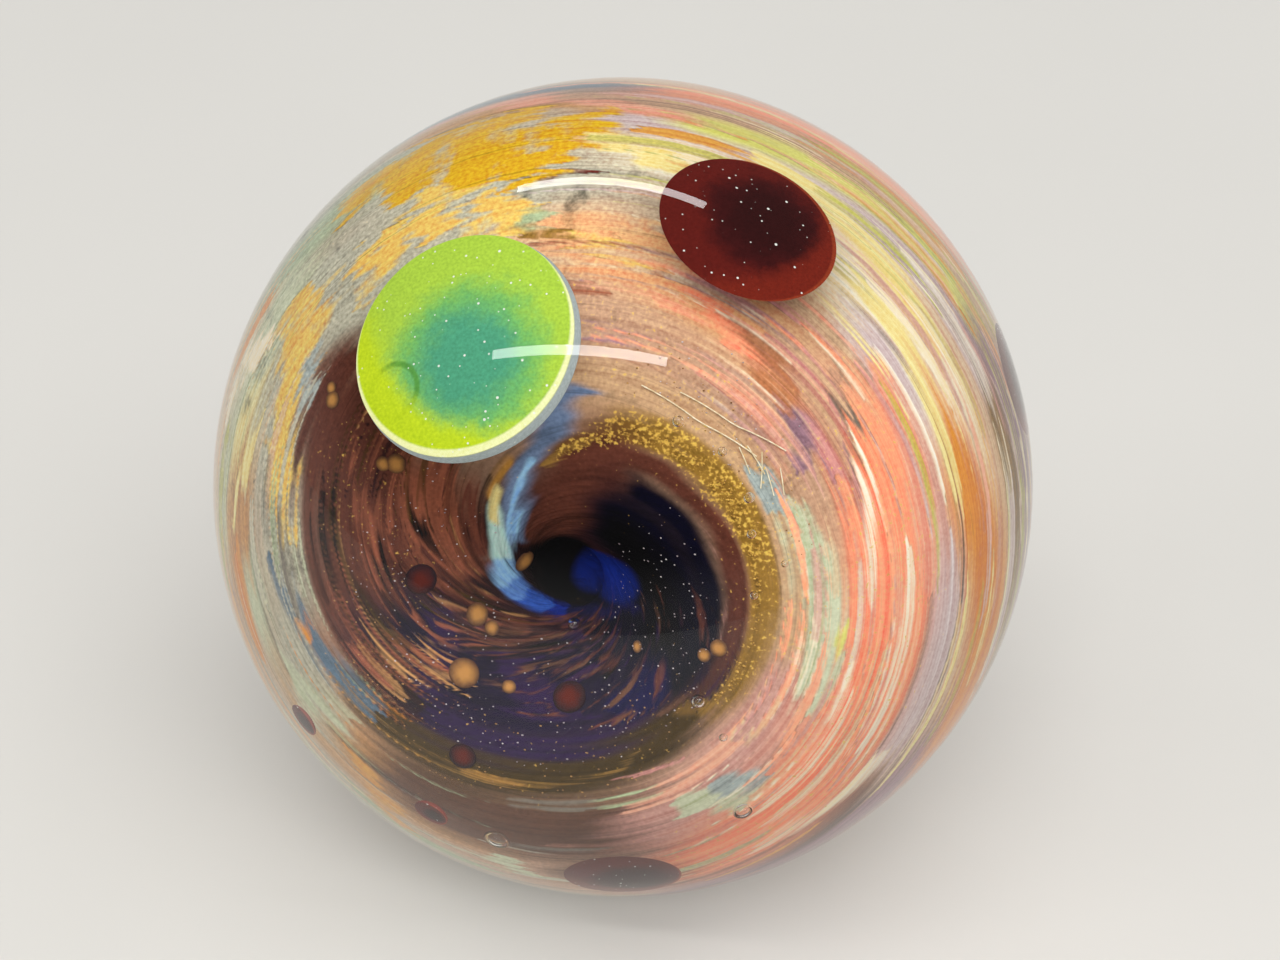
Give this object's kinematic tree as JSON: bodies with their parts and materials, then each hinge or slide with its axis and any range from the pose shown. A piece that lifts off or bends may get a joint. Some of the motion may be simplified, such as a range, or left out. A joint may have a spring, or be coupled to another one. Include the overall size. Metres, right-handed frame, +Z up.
{
  "type": "glass marble",
  "caption": "Handmade glass marble: clear casing over a funnel of twisted coloured glass stripes, with flush green and dark red dots.",
  "frame": {"origin": "centre of the ball", "axes": "+Z up as it sits in its stand, the front of the funnel faces -Y and a little to -X"},
  "size_m": [0.035, 0.035, 0.035],
  "materials": {
    "clear_glass": "polished clear borosilicate glass",
    "dark_glass": "dark backing glass with a frit skin",
    "cobalt_glass": "cobalt blue glass",
    "plum_glass": "plum and indigo streaked glass with gold frit",
    "mint_glass": "pale mint and blue grey streaked glass",
    "salmon_glass": "salmon brown streaked glass",
    "coral_glass": "coral streaked glass",
    "copper_glass": "copper pink speckled glass",
    "blue_glass": "pale blue streak",
    "mustard_glass": "mustard gold crackled glass",
    "green_glass": "lime green glass",
    "teal_glass": "teal green glass",
    "red_glass": "dark red glass"
  },
  "bodies": {
    "root": {"clear_casing": "clear_glass", "core": "dark_glass", "eye_bead": "cobalt_glass", "plum_stripe": "plum_glass", "mint_stripe": "mint_glass", "salmon_stripe": "salmon_glass", "coral_stripe": "coral_glass", "copper_stripe": "copper_glass", "blue_stripe": "blue_glass", "mustard_stripe": "mustard_glass", "green_dot": "green_glass", "teal_middle": "teal_glass", "red_dot_top": "red_glass", "red_dot_side": "red_glass", "red_dot_low": "red_glass", "red_speck_left": "red_glass", "red_speck_low": "red_glass"}
  },
  "joints": []
}
